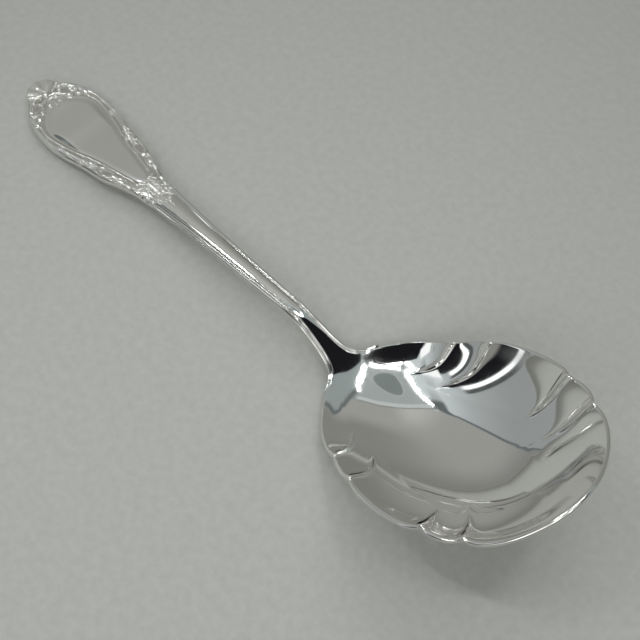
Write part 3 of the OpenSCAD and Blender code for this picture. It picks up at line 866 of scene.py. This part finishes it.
# roof with a round opening, seen at a slant
bar = math_node("ADD", px, math_node("MULTIPLY", py, 1.7))
side = math_node("SUBTRACT", px, math_node("MULTIPLY", py, 0.25))
beam = math_node("ADD", py, math_node("MULTIPLY", px, 0.12))
rear = math_node("ADD", math_node("SUBTRACT", py, math_node("MULTIPLY", px, 0.08)),
                 math_node("MULTIPLY", math_node("MAXIMUM", math_node("SUBTRACT", px, 0.15), 0.0), 0.2))
roof = times(step(el, 40, 3), step(beam, 0.08, 0.01), step(bar, -0.12, 0.03), unless(step(side, 0.21, 0.02)))
col = lay(col, roof, (0.36, 0.40, 0.395))
col = lay(col, times(roof, step(rear, 0.38, 0.008)), (0.52, 0.56, 0.55))
col = lay(col, times(roof, step(rear, 0.432, 0.006)), (0.20, 0.22, 0.215))
tilt = math_node("ADD", math_node("MULTIPLY", px, 0.13), py)
hole = math_node("SQRT", math_node("ADD", math_node("POWER", line_of(px, 1 / 0.2, 0.05 / 0.2), 2.0), math_node("POWER", line_of(tilt, 1 / 0.08, -0.187 / 0.08), 2.0)))
col = lay(col, unless(step(hole, 1.07, 0.05)), (0.43, 0.47, 0.465))
col = lay(col, unless(step(hole, 0.96, 0.05)), (0.205, 0.24, 0.235))
# open front: black room, with the bright edge of the tent and its dark frame to the left
along = math_node("SUBTRACT", az, math_node("MULTIPLY", el, 0.48))
low = times(unless(step(dx, -0.05, 0.03)), unless(step(el, 50, 2)), step(el, 2, 6))
flank = times(low, unless(step(el, 32, 2)))
col = lay(col, times(flank, unless(step(along, -97, 0.8))), (0.085, 0.095, 0.095))
front = most(times(unless(step(beam, 0.044, 0.005)), step(el, 46, 3), step(math_node("SUBTRACT", px, math_node("MULTIPLY", py, 1.1)), -0.76, 0.05)),
             times(unless(step(beam, 0.15, 0.006)), unless(step(math_node("SUBTRACT", py, math_node("MULTIPLY", px, 0.475)), -0.1045, 0.008)),
                   step(px, 0.2, 0.02), step(el, 44, 2)),
             times(low, unless(step(along, -103.8, 0.6))), times(unless(step(dy, 0.0, 0.03)), step(dx, 0.0, 0.03), step(el, 36, 3)))
col = lay(col, front, BLACK)
col = lay(col, times(flank, between(along, -103.8, -101, 0.6)), (1.5, 1.55, 1.55))
col = lay(col, times(between(px, -1.25, -0.74, 0.04), between(py, -0.03, 0.15, 0.02), step(el, 36, 2)), (1.05, 1.08, 1.08))
col = lay(col, times(unless(step(dy, -0.36, 0.05)), unless(step(el, 34, 5))), (0.24, 0.24, 0.225))
col = lay(col, times(unless(step(dy, -0.42, 0.05)), between(el, 30, 62, 4)), (0.72, 0.73, 0.71))
az2 = math_node("MULTIPLY", math_node("ARCTAN2", dx, math_node("MULTIPLY", dy, -1.0)), 180 / math.pi)
panes = most(between(az2, -32, -25, 1.5), between(az2, -4, 3, 1.5), between(az2, 24, 31, 1.5))
col = lay(col, times(panes, unless(step(dy, -0.45, 0.04)), between(el, 39, 54, 2)), (5.0, 5.05, 5.0))
# lamps
col = lay(col, times(between(side, 0.18, 0.25, 0.015), between(beam, 0.08, 0.36, 0.015), step(el, 42, 3)), (0.70, 0.74, 0.735))
col = lay(col, times(between(bar, -0.25, -0.09, 0.02), between(beam, 0.05, 0.27, 0.015), step(el, 42, 3)), (0.82, 0.87, 0.86))
lamps = most(times(between(beam, 0.046, 0.066, 0.004), between(px, -0.25, 0.165, 0.012)),
             times(between(bar, -0.2, -0.15, 0.012), between(beam, 0.06, 0.25, 0.01)),
             times(between(side, 0.20, 0.228, 0.006), between(beam, 0.078, 0.34, 0.01)))
LAMP = 40.0
col = lay(col, times(lamps, step(el, 42, 3)), (LAMP, LAMP * 1.03, LAMP * 1.02))
col = lay(col, times(between(px, -0.96, -0.76, 0.05), between(py, 0.18, 0.46, 0.05)), (0.42, 0.465, 0.47))
col = lay(col, times(between(px, -0.98, -0.72, 0.04), between(py, 0.265, 0.46, 0.03)), (0.12, 0.138, 0.138))
# grey sheet behind, paler to the left and upwards, with a dark line along its edge
slant = math_node("ADD", az, line_of(math_node("MINIMUM", el, 38.0), 0.36, 50.0))
behind = step(rear, 0.446, 0.012)
turn = math_node("SUBTRACT", az, line_of(math_node("MAXIMUM", el, 50.0), 0.5, 34.5 - 25))
corner = line_of(math_node("SQRT", math_node("ADD", math_node("POWER", math_node("MAXIMUM", line_of(turn, -1.0, 10.0), 0.0), 2.0),
                                             math_node("POWER", math_node("MAXIMUM", line_of(el, -1.0, 50.5), 0.0), 2.0))), -1.0, 10.0)
edge = math_node("MULTIPLY", line_of(math_node("MAXIMUM", line_of(el, 1.0, -40.0), 0.0), 0.45, 1.8), -1.0)
col = lay(col, times(step(math_node("SUBTRACT", slant, edge), 0.0, 0.5), unless(step(slant, 1.0, 0.5)), behind, unless(step(el, 54, 2))), (0.12, 0.14, 0.15))
col = lay(col, times(between(corner, 0.0, 5.0, 2.5), step(dx, 0.2, 0.05), step(dy, 0.1, 0.05)), (0.13, 0.15, 0.148))
paper = lay((0.335, 0.342, 0.322), step(az, -4, 26), (0.235, 0.237, 0.222))
paper = lay(paper, step(el, 44, 9), (0.345, 0.350, 0.332))
paper = lay(paper, times(step(el, 52, 8), unless(step(az, -12, 20))), (0.47, 0.475, 0.455))
paper = lay(paper, unless(step(el, 8, 12)), (0.215, 0.217, 0.205))
sheet = times(step(slant, 0.0, 0.8), unless(step(corner, 0.0, 0.8)), behind)
both = node(nt, "ShaderNodeMix", data_type="RGBA")
link(nt, sheet, both.inputs["Factor"])
link(nt, col, both.inputs["A"])
link(nt, paper, both.inputs["B"])
col = lay(both.outputs["Result"], unless(step(el, 0, 1)), SHEET)
path = node(nt, "ShaderNodeLightPath")
plain = node(nt, "ShaderNodeMix", data_type="RGBA")
link(nt, path.outputs["Is Camera Ray"], plain.inputs["Factor"])
link(nt, col, plain.inputs["A"])
plain.inputs["B"].default_value = (*SHEET, 1)
link(nt, plain.outputs["Result"], bg.inputs["Color"])

# two broad soft lamps over the table, in front and behind, that light the floor and aren't mirrored in the metal
for name, size, energy, place in (("soft_lamp_front", 0.9, 0.78, (-0.20, -0.42, 0.50)), ("soft_lamp_back", 0.5, 0.9, (0.16, 0.44, 0.54))):
    lamp = bpy.data.objects.new(name, bpy.data.lights.new(name, "AREA"))
    lamp.data.shape = "DISK"
    lamp.data.size = size
    lamp.data.energy = energy
    lamp.data.color = (1.0, 1.0, 0.985)
    place = Vector((place[0] * right + place[1] * away + np.array([0, 0, place[2]])).tolist())
    lamp.matrix_world = Matrix.Translation(place) @ place.to_track_quat("Z", "Y").to_matrix().to_4x4()
    lamp.visible_glossy = False
    lamp.visible_camera = False
    scene.collection.objects.link(lamp)

cam = bpy.data.objects.new("camera", bpy.data.cameras.new("camera"))
scene.collection.objects.link(cam)
up0 = np.array([-math.sin(PSI) * math.sin(ELEV), math.cos(PSI) * math.sin(ELEV), math.cos(ELEV)])
fwd = np.array([-math.sin(PSI) * math.cos(ELEV), math.cos(PSI) * math.cos(ELEV), -math.sin(ELEV)])
r2 = math.cos(ROLL) * right + math.sin(ROLL) * up0
u2 = -math.sin(ROLL) * right + math.cos(ROLL) * up0
pose = Matrix.Identity(4)
for i in range(3):
    pose[i][0], pose[i][1], pose[i][2] = r2[i], u2[i], -fwd[i]
pose[0][3], pose[1][3], pose[2][3] = 0.1172, -0.0920, 0.27065
cam.matrix_world = pose
cam.data.sensor_width = 36
cam.data.lens = 36 * 1082.25 / 640
cam.data.clip_start, cam.data.clip_end = 0.01, 50
scene.camera = cam
scene.view_settings.view_transform = "Standard"
